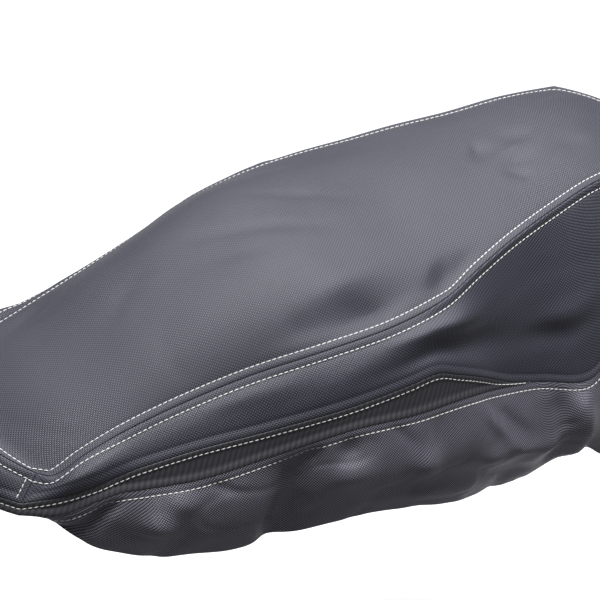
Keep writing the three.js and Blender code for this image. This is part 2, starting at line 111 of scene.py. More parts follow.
# Soft dents (negative) and puffs of the top panel: x, y, long, wide, turn in degrees, depth.
topRelief = [
    (344, -135, 48, 17, 4, -10),
    (446, -137, 26, 13, 17, -11),
    (284, 10, 80, 9, -26, -2.4),
    (569, -3, 16, 11, 20, -2.6),
    (613, 4, 15, 11, -12, -2.6),
    (591, -33, 18, 10, 8, -2.2),
    (659, -36, 18, 11, -10, -2.2),
    (76, 77, 38, 14, 14, -4),
    (400, 108, 60, 16, -8, -3),
]

# Small creases of the top panel, given the same way. The solids don't have them.
topCreases = [
    (290, -122, 46, 11, -3, -4),
    (350, -129, 22, 8, -28, -3.6),
    (334, -104, 34, 9, 4, 2.4),
    (440, -122, 18, 7, 34, -3.6),
    (468, -119, 22, 7, 12, -2.4),
    (232, -8, 70, 8, -22, -1.5),
    (365, 30, 60, 8, -30, -1.3),
    (150, 8, 40, 9, 30, -1.3),
    (567, 7, 10, 6, 60, -2.4),
    (584, -50, 12, 6, -40, -2.4),
    (600, -12, 12, 5, 10, 2),
]

# The same for the side panels: side, at, up, long, tall, depth.
sideRelief = [
    (-1, 208, 0.74, 44, 0.2, 3),
    (-1, 388, 0.78, 34, 0.14, 5),
    (-1, 428, 0.72, 40, 0.13, 9),
    (-1, 436, 0.34, 75, 0.16, -9),
    (-1, 575, 0.42, 36, 0.06, 4),
    (-1, 562, 0.31, 38, 0.07, -4.5),
    (1, 30, 0.8, 40, 0.25, 8),
    (1, 190, 0.7, 60, 0.3, -4),
    (1, 400, 0.66, 46, 0.22, 4),
    (1, 490, 0.4, 50, 0.22, -6),
    (1, 600, 0.5, 36, 0.14, -4),
]

# Folds of the skirt: side, where each starts below the seam and ends above the hem,
# the share of the way down it covers (from, to), wide, depth.
skirtFolds = [
    (-1, 61, 14, 0, 1.2, 10, -9),
    (-1, 130, 112, 0.2, 1, 13, -3),
    (-1, 150, 262, 0, 0.35, 8, -5),
    (-1, 246, 216, 0, 1.3, 18, -11),
    (-1, 296, 300, 0, 0.3, 9, -4),
    (-1, 342, 420, 0, 0.35, 7, -5),
    (-1, 440, 560, 0, 0.5, 9, 4),
    (-1, 462, 580, 0, 0.45, 8, -3),
    (-1, 552, 556, 0, 1, 14, -6),
    (-1, 578, 582, 0, 1.3, 12, 8),
    (-1, 636, 640, 0, 1.1, 18, -6),
    (1, 70, 56, 0, 1.2, 14, -6),
    (1, 130, 140, 0, 1.1, 24, 5),
    (1, 196, 180, 0, 1.2, 12, -8),
    (1, 262, 270, 0.2, 1.1, 22, 5),
    (1, 318, 300, 0, 0.8, 12, -6),
    (1, 372, 380, 0, 1.1, 26, 6),
    (1, 440, 424, 0, 1.2, 12, -8),
    (1, 492, 500, 0.3, 1.1, 20, 6),
    (1, 546, 548, 0, 1.2, 13, -7),
    (1, 600, 606, 0, 1.1, 16, 6),
    (1, 656, 650, 0, 1.1, 16, -5),
]

# Puffs and hollows of the skirt: side, at, share of the way down, long, tall, depth.
skirtPuffs = [
    (-1, 96, 0.46, 18, 0.2, 9),
    (-1, 122, 0.2, 14, 0.14, 4),
    (-1, 232, 0.82, 32, 0.34, -7),
    (-1, 258, 0.1, 9, 0.1, -4),
    (-1, 294, 0.42, 24, 0.12, 6),
    (-1, 294, 0.2, 14, 0.1, -3),
    (-1, 374, 0.46, 17, 0.15, 9),
    (-1, 385, 0.82, 70, 0.08, 4),
    (-1, 425, 0.62, 40, 0.14, -5),
    (-1, 462, 0.5, 22, 0.09, 5),
    (-1, 500, 0.42, 26, 0.09, 6),
    (-1, 540, 0.46, 22, 0.09, 5),
    (-1, 500, 0.75, 60, 0.18, -8),
    (1, 120, 0.4, 22, 0.3, 6),
    (1, 240, 0.5, 30, 0.25, -6),
    (1, 330, 0.4, 24, 0.2, 7),
    (1, 470, 0.5, 30, 0.2, 6),
    (1, 560, 0.6, 26, 0.2, -6),
    (1, 650, 0.4, 24, 0.25, 5),
]

# Shares of the skirt's height in which folds and puffs come up and die out.
skirtFade = {"foldStart": 0.25, "foldEnd": 0.35, "puffTop": 0.12}

# How puffs die out at the corners of the walls, and how far the end walls turn sideways there.
cornerShape = {"sideFade": 30, "endPower": 6, "endTurn": 0.6}

# Rows of the cloth grids, from each seam inwards, and how the cloth turns in at a seam.
seam = {
    "steps": [0, 0.3, 0.7, 1.2, 2, 3.2, 4.8, 6.6, 8, 9, 10.2, 12.4],
    "bandSteps": 9,    # how many of those rows lie beside each edge of the grip band
    "share": 0.42,     # most that the rows beside one seam take of a narrow piece
    "gap": 0.03,       # between the outer faces of two pieces
    "roll": 1.3,       # width of the turned edge
    "dip": 1.1,        # how deep it goes
    "ridge": 1.5,      # height of the allowances folded back under each side
    "flat": 2.6,       # how far from the seam that height holds
    "sewn": 8.8,       # topstitching, where the ridge ends
    "pull": 0.4,       # how deep the thread pulls the cloth in
    "pullWide": 1.6,
    "reach": 14,       # past it the cloth lies as the tables have it
}

# Steps of the grids between the rows beside their seams.
gridSteps = {"along": 176, "across": 58, "panel": 22, "band": 5, "skirt": 46}


def columnAt(table, key, at):
    places, values = table["at"], table[key]
    last = len(places) - 1
    row = 0
    while row < last - 1 and at > places[row + 1]:
        row += 1
    span = places[row + 1] - places[row]
    t = min(1, max(0, (at - places[row]) / span))

    def slopeAt(k):
        before, after = max(0, k - 1), min(last, k + 1)
        return (values[after] - values[before]) / (places[after] - places[before])

    h = t * t * (3 - 2 * t)
    startPull = t * (1 - t) ** 2 * span * slopeAt(row)
    endPull = t * t * (t - 1) * span * slopeAt(row + 1)
    return values[row] * (1 - h) + values[row + 1] * h + startPull + endPull


def bell(distance, width):
    return math.exp(-((distance / width) ** 2))


def ramp(t):
    c = min(1, max(0, t))
    return c * c * (3 - 2 * c)


def hump(t):
    return math.sin(math.pi * min(1, max(0, t)))


def endBow(end, v):
    return end["bow"] * (1 - abs(v) ** end["round"])


def railPoint(rail, at, v):
    table = railTables[rail]
    x = at if rail == "seam" else columnAt(table, rail + "X", at)
    point = Vector((x, v * columnAt(table, rail + "Y", at), columnAt(table, rail + "Z", at)))
    if abs(v) < 1:
        rear = at < coverLength / 2
        end = rearEnd[rail] if rear else frontEnd[rail]
        point.x += (-1 if rear else 1) * endBow(end, v)
        point.z += end["lift"] * (1 - v * v)
    return point


def bandPoint(at, v):
    low = railPoint("low", at, v)
    lean = railPoint("seam", at, v) - low
    lean.x *= gripUpright
    lean.y *= gripUpright
    wide = 0 if at > gripSections["at"][-1] else columnAt(gripSections, "wide", at)
    return low + lean.normalized() * wide


def endShare(distance):
    return 1 - (1 - min(1, distance / topEnds["shoulder"])) ** topEnds["shoulderRound"]


def topReliefAt(x, y):
    total = 0
    for spotX, spotY, long, wide, turn, depth in topRelief + topCreases:
        a = math.radians(turn)
        dx, dy = x - spotX, y - spotY
        along = dx * math.cos(a) + dy * math.sin(a)
        across = dy * math.cos(a) - dx * math.sin(a)
        total += depth * bell(along, long) * bell(across, wide)
    return total


def topPoint(at, v):
    rear, front = rearEnd["seam"], frontEnd["seam"]
    rearShare = (1 - min(1, at / topEnds["rearReach"])) ** 2
    frontShare = (1 - min(1, (coverLength - at) / topEnds["frontReach"])) ** 2
    side = 1 - abs(v) ** columnAt(topSections, "shoulder", at)
    rise = columnAt(topSections, "crown", at) * side * endShare(at) * endShare(coverLength - at)
    ends = (rear["lift"] * rearShare + front["lift"] * frontShare) * (1 - v * v)
    x = at - endBow(rear, v) * rearShare + endBow(front, v) * frontShare
    y = v * columnAt(topSections, "seamY", at)
    relief = topReliefAt(x, y) * min(1, (1 - abs(v)) / topEnds["reliefFade"])
    return Vector((x, y, columnAt(topSections, "seamZ", at) + rise + ends + relief))


def sideReliefAt(side, at, up):
    return sum(
        depth * bell(at - place, long) * bell(up - height, tall)
        for spotSide, place, height, long, tall, depth in sideRelief
        if spotSide == side
    )


def skirtReliefAt(side, at, down):
    total = 0
    for foldSide, top, foot, start, end, wide, depth in skirtFolds:
        if foldSide == side:
            line = top + (foot - top) * down
            begun = ramp((down - start) / skirtFade["foldStart"])
            left = ramp((end - down) / skirtFade["foldEnd"])
            total += depth * bell(at - line, wide) * (begun * left)
    below = ramp(down / skirtFade["puffTop"])
    for spotSide, place, height, long, tall, depth in skirtPuffs:
        if spotSide == side:
            total += depth * bell(at - place, long) * bell(down - height, tall) * below
    return total


def outwardOf(at, v, side, rise):
    if side:
        return Vector((0, side * rise.z, -side * rise.y)).normalized()
    sign = -1 if at < coverLength / 2 else 1
    turn = cornerShape["endTurn"] * v
    return Vector((sign * rise.z, turn * rise.z, -sign * rise.x)).normalized()


def seamProfile(distance):
    if distance > seam["reach"]:
        return 0
    t = max(0, 1 - distance / seam["roll"])
    dip = seam["dip"] * (1 - math.sqrt(1 - t * t))
    ridge = seam["ridge"] * (1 - ramp((distance - seam["flat"]) / (seam["sewn"] - seam["flat"])))
    return ridge - dip - seam["pull"] * bell(distance - seam["sewn"], seam["pullWide"])


def gradedLines(total, middle, steps, atBothEnds=True):
    # Distances from 0 to total, close together beside the seams.
    scale = min(1, seam["share"] * total / steps[-1])
    first = [d * scale for d in steps]
    last = [total - d for d in reversed(first)] if atBothEnds else [total]
    start, end = first[-1], last[0]
    inner = [start + (end - start) * k / middle for k in range(1, middle)]
    return first + inner + last


alongs = gradedLines(coverLength, gridSteps["along"], seam["steps"])


def crossLinesAt(at):
    half = columnAt(topSections, "seamY", at)
    crown = columnAt(topSections, "crown", at) * endShare(at) * endShare(coverLength - at)
    slope = crown * columnAt(topSections, "shoulder", at) / half
    wide = 2 * half * math.sqrt(1 + slope * slope)
    lines = gradedLines(wide, gridSteps["across"], seam["steps"])
    return [2 * d / wide - 1 for d in lines]


rearCross = crossLinesAt(0)
frontCross = crossLinesAt(coverLength)

# Columns round the cover: right side, front, left side, rear, and back to the first one.
columns = [(at, -1, -1) for at in alongs[:-1]]
columns += [(coverLength, v, 0) for v in frontCross[:-1]]
columns += [(at, 1, 1) for at in reversed(alongs[1:])]
columns += [(0, v, 0) for v in reversed(rearCross[1:])]
columns.append(columns[0])
frontRight = len(alongs) - 1
frontLeft = frontRight + len(frontCross) - 1
rearLeft = frontLeft + len(alongs) - 1
rearRight = len(columns) - 1


def wallGrid(lowerOf, upperOf, linesOf, outOf):
    # Points of a wall between two rails for each column, from the lower edge up.
    grid, shares, talls = [], [], []
    for at, v, side in columns:
        lower, upper = lowerOf(at, v), upperOf(at, v)
        rise = upper - lower
        tall = max(rise.length, 1e-6)
        out = outwardOf(at, v, side, rise)
        if side:
            fade = min(1, min(at, coverLength - at) / cornerShape["sideFade"])
        else:
            fade = 1 - abs(v) ** cornerShape["endPower"]
        lines = [d / tall for d in linesOf(tall)]
        grid.append([lower + rise * s + out * (fade * outOf(at, side, s)) for s in lines])
        shares.append(lines)
        talls.append(tall)
    return np.array([[p[:] for p in line] for line in grid]), np.array(shares), np.array(talls)


def panelOut(at, side, up):
    puff = columnAt(flankSections, "puff", at) if side else endPuff
    return (puff + sideReliefAt(side, at, up)) * hump(up)


def skirtOut(at, side, up):
    full = columnAt(hemSections, "full", at) if side else endPuff
    return full * hump(up) + skirtReliefAt(side, at, 1 - up)


def panelLines(tall):
    return gradedLines(tall, gridSteps["panel"], seam["steps"])


def bandLines(tall):
    return gradedLines(tall, gridSteps["band"], seam["steps"][:seam["bandSteps"]])


def skirtLines(tall):
    return [tall - d for d in reversed(gradedLines(tall, gridSteps["skirt"], seam["steps"], False))]


def railOf(rail):
    return lambda at, v: railPoint(rail, at, v)


print("laying out the cloth")
panelGrid = wallGrid(bandPoint, railOf("seam"), panelLines, panelOut)
bandGrid = wallGrid(railOf("low"), bandPoint, bandLines, lambda *_: 0)
skirtGrid = wallGrid(railOf("hem"), railOf("low"), skirtLines, skirtOut)
topGrid = np.array([[topPoint(at, v)[:] for v in crossLinesAt(at)] for at in alongs])


def stepLengths(grid, axis):
    gaps = np.linalg.norm(np.diff(grid, axis=axis), axis=2)
    return np.concatenate([np.zeros_like(np.take(gaps, [0], axis)), np.cumsum(gaps, axis)], axis)


def clothMap(grid, fromMiddle=False):
    # Flat place of each point along and across the cloth, in metres.
    middle = grid[:, grid.shape[1] // 2]
    along = stepLengths(middle[:, None], 0)
    across = stepLengths(grid, 1)
    if fromMiddle:
        across = across - across[:, [grid.shape[1] // 2]]
    flat = np.stack([np.broadcast_to(along, across.shape), across], axis=2)
    return flat * mm


def endDistances(grid):
    toFirst = np.linalg.norm(grid - grid[[0]], axis=2)
    toLast = np.linalg.norm(grid - grid[[-1]], axis=2)
    return np.minimum(toFirst, toLast)


def wallPatch(name, wall, first, last, ring=False):
    # A ring goes all round with a free foot, so its only seam is along its upper edge.
    points, shares, talls = (part[first:last + 1] for part in wall)
    distance = (1 - shares) * talls[:, None]
    if not ring:
        distance = np.minimum(distance, shares * talls[:, None])
        distance = np.minimum(distance, endDistances(points))
    return {"name": name, "grid": points, "seamDistance": distance, "ring": ring,
            "map": clothMap(points)}


def topPatch(name):
    toRight = np.linalg.norm(topGrid - topGrid[:, [0]], axis=2)
    toLeft = np.linalg.norm(topGrid - topGrid[:, [-1]], axis=2)
    distance = np.minimum(np.minimum(toRight, toLeft), endDistances(topGrid))
    return {"name": name, "grid": topGrid, "seamDistance": distance, "ring": False,
            "map": clothMap(topGrid, True)}


# Last columns of the grip band, on the right and on the left.
tipRight = max(k for k in range(frontRight) if columns[k][0] <= gripSections["at"][-1])
tipLeft = frontLeft + (frontRight - tipRight)


def bandRound():
    # The band as one strip: from the left tip by the rear to the right tip.
    order = list(range(tipLeft, rearRight)) + list(range(0, tipRight + 1))
    points, shares, talls = (part[order] for part in bandGrid)
    distance = np.minimum(shares, 1 - shares) * talls[:, None]
    return {"name": "grip_band", "grid": points, "seamDistance": distance, "ring": False,
            "map": clothMap(points)}


patches = {
    "top": topPatch("top_panel"),
    "right": wallPatch("side_panel_right", panelGrid, 0, frontRight),
    "front": wallPatch("front_panel", panelGrid, frontRight, frontLeft),
    "left": wallPatch("side_panel_left", panelGrid, frontLeft, rearLeft),
    "rear": wallPatch("rear_panel", panelGrid, rearLeft, rearRight),
    "band": bandRound(),
    "skirt": wallPatch("skirt", skirtGrid, 0, rearRight, ring=True),
}

# Edge points are matched on a grid of 0.02 mm.
keysPerMm = 50


def shareNormals():
    # One normal for each place, also where panels meet, so that their edges match.
    sums = {}
    for patch in patches.values():
        g = patch["grid"]
        faces = np.cross(g[1:, 1:] - g[:-1, :-1], g[:-1, 1:] - g[1:, :-1])
        lengths = np.linalg.norm(faces, axis=2, keepdims=True)
        faces = faces / np.maximum(lengths, 1e-9)
        total = np.zeros_like(g)
        for di in (0, 1):
            for dj in (0, 1):
                total[di:di + faces.shape[0], dj:dj + faces.shape[1]] += faces
        patch["normals"] = total
        patch["keys"] = np.round(g * keysPerMm).astype(int)
        edge = np.zeros(g.shape[:2], bool)
        edge[[0, -1]] = True
        edge[:, [0, -1]] = True
        patch["edge"] = np.argwhere(edge)
        for i, j in patch["edge"]:
            key = tuple(patch["keys"][i, j])
            sums[key] = sums.get(key, 0) + total[i, j]
    for patch in patches.values():
        for i, j in patch["edge"]:
            patch["normals"][i, j] = sums[tuple(patch["keys"][i, j])]
        lengths = np.linalg.norm(patch["normals"], axis=2, keepdims=True)
        patch["normals"] /= np.maximum(lengths, 1e-9)


def drawBack(place, grid, normals, line, neighbour):
    # Moves one edge of a grid half the seam's gap towards its neighbour.
    step = grid[neighbour] - grid[line]
    normal = normals[line]
    step = step - normal * np.sum(step * normal, axis=1, keepdims=True)
    step = step / np.maximum(np.linalg.norm(step, axis=1, keepdims=True), 1e-9)
    place[line] += step * seam["gap"] / 2


# Slight unevenness of the slack cloth, in millimetres: broad waves and sharp wrinkles.
rumple = {
    "skirt": {"wave": 30, "waveHigh": 1.6, "wrinkle": 50, "wrinkleDeep": 0.9, "fade": 16},
    "top": {"wave": 90, "waveHigh": 1.1, "wrinkle": 120, "wrinkleDeep": 0.48, "fade": 30},
    "right": {"wave": 60, "waveHigh": 1.3, "wrinkle": 80, "wrinkleDeep": 0.72, "fade": 24},
    "left": {"wave": 60, "waveHigh": 1.3, "wrinkle": 80, "wrinkleDeep": 0.72, "fade": 24},
}

# Wrinkles follow the zero lines of a noise that is drawn out along the cover and leans.
wrinkleShape = {"along": 0.6, "lean": 0.5, "up": 1.2, "shift": 400, "sharp": 0.09}


def wrinkleAt(point, size):
    x = point[0] * wrinkleShape["along"] + point[2] * wrinkleShape["lean"]
    z = point[2] * wrinkleShape["up"] + wrinkleShape["shift"]
    return bell(noise.noise(Vector((x, point[1], z)) / size), wrinkleShape["sharp"])


def rumpleHeights(patch, settings):
    heights = np.zeros(patch["grid"].shape[:2])
    for i, line in enumerate(patch["grid"]):
        for j, point in enumerate(line):
            share = min(1, patch["seamDistance"][i, j] / settings["fade"])
            wave = settings["waveHigh"] * noise.noise(Vector(point) / settings["wave"])
            wrinkle = settings["wrinkleDeep"] * wrinkleAt(point, settings["wrinkle"])
            heights[i, j] = share * share * (wave - wrinkle)
    return heights


def setSeams():
    profile = np.vectorize(seamProfile)
    for key, patch in patches.items():
        grid, normals = patch["grid"], patch["normals"]
        height = profile(patch["seamDistance"])
        if key in rumple:
            height = height + rumpleHeights(patch, rumple[key])
        place = grid + normals * height[:, :, None]
        everything = slice(None)
        if not patch["ring"]:
            drawBack(place, grid, normals, (0, everything), (1, everything))
            drawBack(place, grid, normals, (-1, everything), (-2, everything))
            drawBack(place, grid, normals, (everything, 0), (everything, 1))
        drawBack(place, grid, normals, (everything, -1), (everything, -2))
        patch["outer"] = (place - np.array([originX, 0, originZ])) * mm


shareNormals()
setSeams()


def clothPiece(patch, thick):
    # A grid is bent to the inner face of the cloth and drawn out to its outer face.
    outer, normals = patch["outer"], patch["normals"]
    inner = outer - normals * thick * mm
    across, up = outer.shape[0] - 1, outer.shape[1] - 1
    bm = bmesh.new()
    bmesh.ops.create_grid(bm, x_segments=across, y_segments=up, size=0.5)
    uvLayer = bm.loops.layers.uv.new("cloth")
    lineLayer = bm.verts.layers.int.new("line")
    rowLayer = bm.verts.layers.int.new("row")
    for vert in bm.verts:
        vert[lineLayer] = round((vert.co.x + 0.5) * across)
        vert[rowLayer] = round((vert.co.y + 0.5) * up)
    for face in bm.faces:
        face.smooth = True
        for loop in face.loops:
            loop[uvLayer].uv = patch["map"][loop.vert[lineLayer], loop.vert[rowLayer]]
    for vert in bm.verts:
        vert.co = inner[vert[lineLayer], vert[rowLayer]]
    if patch["ring"]:
        bmesh.ops.remove_doubles(bm, verts=bm.verts[:], dist=1e-6)
    innerFaces = bm.faces[:]
    drawn = bmesh.ops.extrude_face_region(bm, geom=innerFaces, use_keep_orig=True)["geom"]
    for vert in (item for item in drawn if isinstance(item, bmesh.types.BMVert)):
        vert.co = outer[vert[lineLayer], vert[rowLayer]]
    outerFaces = {item for item in drawn if isinstance(item, bmesh.types.BMFace)}
    for face in innerFaces:
        face.material_index = 1
    bmesh.ops.recalc_face_normals(bm, faces=bm.faces[:])
    for face in bm.faces:
        if face not in outerFaces and face.material_index == 0:
            face.smooth = False
    for edge in bm.edges:
        edge.smooth = len({face.smooth for face in edge.link_faces}) == 1
    mesh = bpy.data.meshes.new(patch["name"] + "_cloth")
    bm.to_mesh(mesh)
    bm.free()
    piece = bpy.data.objects.new(patch["name"] + "_cloth", mesh)
    bpy.context.scene.collection.objects.link(piece)
    return piece


def linear(hexColour):
    # An sRGB hex colour as linear red, green, blue and alpha.
    parts = [int(hexColour[k:k + 2], 16) / 255 for k in (1, 3, 5)]
    return [c / 12.92 if c <= 0.04045 else ((c + 0.055) / 1.055) ** 2.4 for c in parts] + [1]


def addNode(tree, kind, links=None, values=None, **settings):
    # Adds a node with its settings, input values and links.
    node = tree.nodes.new(kind)
    for key, value in settings.items():
        setattr(node, key, value)
    for socket, value in (values or {}).items():
        node.inputs[socket].default_value = value
    for socket, source in (links or {}).items():
        tree.links.new(source, node.inputs[socket])
    return node


def newMaterial(name):
    material = bpy.data.materials.new(name)
    material.use_nodes = True
    material.node_tree.nodes.clear()
    return material, material.node_tree


# Section of the threads of a weave: how round, how softly they cross, how low they dip.
weaveShape = {"round": 0.6, "cross": 0.25, "low": 0.5}

# Clouds some 70 mm across in the colour, and fine grit about 1 mm across in the gloss. Both
# use the middle of the noise's range.
clothClouds = {"Scale": 14, "Detail": 3, "Roughness": 0.55}
clothGrit = {"Scale": 900, "Detail": 2, "Roughness": 0.6}
noiseRange = {1: 0.3, 2: 0.7}
plasticIor = 1.52


def plainWeave(tree, threadMm):
    # Height of a plain weave and which thread lies on top, from the cloth's own map.
    uv = addNode(tree, "ShaderNodeUVMap", uv_map="cloth")
    parts = addNode(tree, "ShaderNodeSeparateXYZ", {0: uv.outputs[0]})
    waves, rounds = [], []
    for axis in (0, 1):
        phase = addNode(tree, "ShaderNodeMath", {0: parts.outputs[axis]},
                        {1: math.pi / (threadMm * mm)}, operation="MULTIPLY")
        wave = addNode(tree, "ShaderNodeMath", {0: phase.outputs[0]}, operation="SINE")
        size = addNode(tree, "ShaderNodeMath", {0: wave.outputs[0]}, operation="ABSOLUTE")
        waves.append(wave.outputs[0])
        rounds.append(addNode(tree, "ShaderNodeMath", {0: size.outputs[0]},
                              {1: weaveShape["round"]}, operation="POWER").outputs[0])
    product = addNode(tree, "ShaderNodeMath", {0: waves[0], 1: waves[1]}, operation="MULTIPLY")
    over = addNode(tree, "ShaderNodeMapRange", {0: product.outputs[0]},
                   {1: -weaveShape["cross"], 2: weaveShape["cross"], 3: 0, 4: 1})
    heights = []
    for long, short in ((0, 1), (1, 0)):
        swell = addNode(tree, "ShaderNodeMath", {0: rounds[long]},
                        {1: 1 - weaveShape["low"], 2: weaveShape["low"]}, operation="MULTIPLY_ADD")
        heights.append(addNode(tree, "ShaderNodeMath", {0: swell.outputs[0], 1: rounds[short]},
                               operation="MULTIPLY").outputs[0])
    height = addNode(tree, "ShaderNodeMix", {0: over.outputs[0], 2: heights[0], 3: heights[1]})
    return height.outputs[0], over.outputs[0]


def wovenCloth(name, settings):
    material, tree = newMaterial(name)
    height, over = plainWeave(tree, settings["threadMm"])
    place = addNode(tree, "ShaderNodeTexCoord")
    cloud = addNode(tree, "ShaderNodeTexNoise", {0: place.outputs["Object"]}, clothClouds)
    grit = addNode(tree, "ShaderNodeTexNoise", {0: place.outputs["Object"]}, clothGrit)
    # Painted light and shade: one set of threads gets a lighter colour as painted highlight, the
    # other set a darker one as painted shade.
    thread = addNode(tree, "ShaderNodeMix", {0: over},
                     {6: linear(settings["weftPaintedShade"]), 7: linear(settings["warpPaintedHighlight"])}, data_type="RGBA")
    # Painted shade in the grooves: the colour goes darker still where the weave lies low.
    paintedGrooveShade = addNode(tree, "ShaderNodeMix", {0: height, 7: thread.outputs[2]},
                   {6: linear(settings["groovePaintedShade"])}, data_type="RGBA")
    shade = addNode(tree, "ShaderNodeMapRange", {0: cloud.outputs[0]},
                    {**noiseRange, 3: 1 - settings["cloud"], 4: 1 + settings["cloud"]})
    colour = addNode(tree, "ShaderNodeMix", {6: paintedGrooveShade.outputs[2], 7: shade.outputs[0]}, {0: 1},
                     data_type="RGBA", blend_type="MULTIPLY")
    rough = addNode(tree, "ShaderNodeMapRange", {0: grit.outputs[0]},
                    {**noiseRange, 3: settings["rough"][0], 4: settings["rough"][1]})
    bump = addNode(tree, "ShaderNodeBump", {"Height": height},
                   {"Distance": settings["bumpMm"] * mm, "Strength": settings["bump"]})
    shader = addNode(tree, "ShaderNodeBsdfPrincipled",
                     {"Base Color": colour.outputs[2], "Roughness": rough.outputs[0],
                      "Normal": bump.outputs[0]},
                     {"IOR": plasticIor, "Sheen Weight": settings["sheen"],
                      "Sheen Roughness": settings["sheenRough"],
                      "Specular IOR Level": settings["gloss"]})
    addNode(tree, "ShaderNodeOutputMaterial", {0: shader.outputs[0]})
    return material


# Vinyl embossed like ballistic cloth: a satin checker of small raised threads. The checker's
# lighter and darker threads are painted highlight and painted shade, and its darker grooves are
# painted shade.
embossedVinyl = wovenCloth("ballistic-embossed vinyl", {
    "threadMm": 1.74,
    "warpPaintedHighlight": "#51525e",
    "weftPaintedShade": "#23232a",
    "groovePaintedShade": "#0e0e11",
    "cloud": 0.06,
    "rough": (0.42, 0.56),
    "bumpMm": 0.34,
    "bump": 0.9,
    "sheen": 0.05,
    "sheenRough": 0.4,
    "gloss": 0.4,
})

# Coated nylon, shinier and with more contrast: its pale cool threads are painted highlights and the
# nearly black ones painted shade, with darker painted shade in the grooves.
# Its weave is drawn coarser than the real one, about 1.28 mm a thread, so that it shows.
coatedNylon = wovenCloth("coated woven nylon", {
    "threadMm": 1.5,
    "warpPaintedHighlight": "#8c8a97",
    "weftPaintedShade": "#141417",
    "groovePaintedShade": "#09090b",
    "cloud": 0.08,
    "rough": (0.34, 0.46),
    "bumpMm": 0.34,
    "bump": 1,
    "sheen": 0.05,
    "sheenRough": 0.4,
    "gloss": 0.55,
})


def ribbedVinyl(name, settings):
    # Smooth calendered vinyl with faint slanted ribs for grip, painted darker in the troughs
    # between the ribs and lighter on their crests as shade and light.
    material, tree = newMaterial(name)
    uv = addNode(tree, "ShaderNodeUVMap", uv_map="cloth")
    turned = addNode(tree, "ShaderNodeMapping", {0: uv.outputs[0]},
                     {"Rotation": (0, 0, math.radians(settings["slant"]))})
    parts = addNode(tree, "ShaderNodeSeparateXYZ", {0: turned.outputs[0]})
    phase = addNode(tree, "ShaderNodeMath", {0: parts.outputs[0]},
                    {1: 2 * math.pi / (settings["ribMm"] * mm)}, operation="MULTIPLY")
    rib = addNode(tree, "ShaderNodeMath", {0: phase.outputs[0]}, operation="SINE")
    place = addNode(tree, "ShaderNodeTexCoord")
    grain = addNode(tree, "ShaderNodeTexNoise", {0: place.outputs["Object"]},
                    {"Scale": 1 / (settings["grainMm"] * mm), "Detail": 3, "Roughness": 0.6})
    mixed = addNode(tree, "ShaderNodeMath", {0: grain.outputs[0], 2: rib.outputs[0]},
                    {1: settings["grainShare"]}, operation="MULTIPLY_ADD")
    # Painted shade and light: the colour follows the ribs, darker in their troughs and lighter on
    # their crests.
    tone = addNode(tree, "ShaderNodeMapRange", {0: rib.outputs[0]}, {1: -1, 2: 1, 3: 0, 4: 1})
    colour = addNode(tree, "ShaderNodeMix", {0: tone.outputs[0]},
                     {6: linear(settings["low"]), 7: linear(settings["high"])}, data_type="RGBA")
    bump = addNode(tree, "ShaderNodeBump", {"Height": mixed.outputs[0]},
                   {"Distance": settings["bumpMm"] * mm, "Strength": settings["bump"]})
    shader = addNode(tree, "ShaderNodeBsdfPrincipled",
                     {"Base Color": colour.outputs[2], "Normal": bump.outputs[0]},
                     {"Roughness": settings["rough"], "IOR": plasticIor,
                      "Specular IOR Level": settings["gloss"]})
    addNode(tree, "ShaderNodeOutputMaterial", {0: shader.outputs[0]})
    return material


gripVinyl = ribbedVinyl("ribbed calendered vinyl", {
    "slant": 24,
    "ribMm": 5.4,
    # The two colours are the ribs' painted shade and painted light.
    "low": "#2f2f31",
    "high": "#404044",
    "grainMm": 0.7143,
    "grainShare": 0.35,
    "bumpMm": 0.2,
    "bump": 0.6,
    "rough": 0.5,
    "gloss": 0.45,
})


def knitBacking(name, settings):
    material, tree = newMaterial(name)
    uv = addNode(tree, "ShaderNodeUVMap", uv_map="cloth")
    # At scale 1 the wave texture repeats every tenth of pi.
    rows = addNode(tree, "ShaderNodeTexWave", {0: uv.outputs[0]},
                   {"Scale": math.pi / 10 / (settings["rowMm"] * mm),
                    "Distortion": settings["waver"], "Detail": 2, "Detail Scale": 2})
    bump = addNode(tree, "ShaderNodeBump", {"Height": rows.outputs[1]},
                   {"Distance": settings["bumpMm"] * mm, "Strength": settings["bump"]})
    # Painted shade and light: darker low between the ridges, lighter on their tops.
    tone = addNode(tree, "ShaderNodeMix", {0: rows.outputs[1]},
                   {6: linear(settings["low"]), 7: linear(settings["high"])}, data_type="RGBA")
    shader = addNode(tree, "ShaderNodeBsdfPrincipled",
                     {"Base Color": tone.outputs[2], "Normal": bump.outputs[0]},
                     {"Roughness": 0.9, "IOR": 1.5, "Sheen Weight": 0.2})
    addNode(tree, "ShaderNodeOutputMaterial", {0: shader.outputs[0]})
    return material


# Knitted polyester behind the vinyl: dull, with soft ridges, painted darker between them as shade
# and lighter on their tops as light. They are drawn coarser than in a real knit, where they are
# about 1 mm apart, so that they show.
backing = knitBacking("knitted polyester backing", {
    "rowMm": 3.157,
    "waver": 1.5,
    "low": "#1c1c1e",
    "high": "#333337",
    "bumpMm": 0.2,
    "bump": 0.7,
})

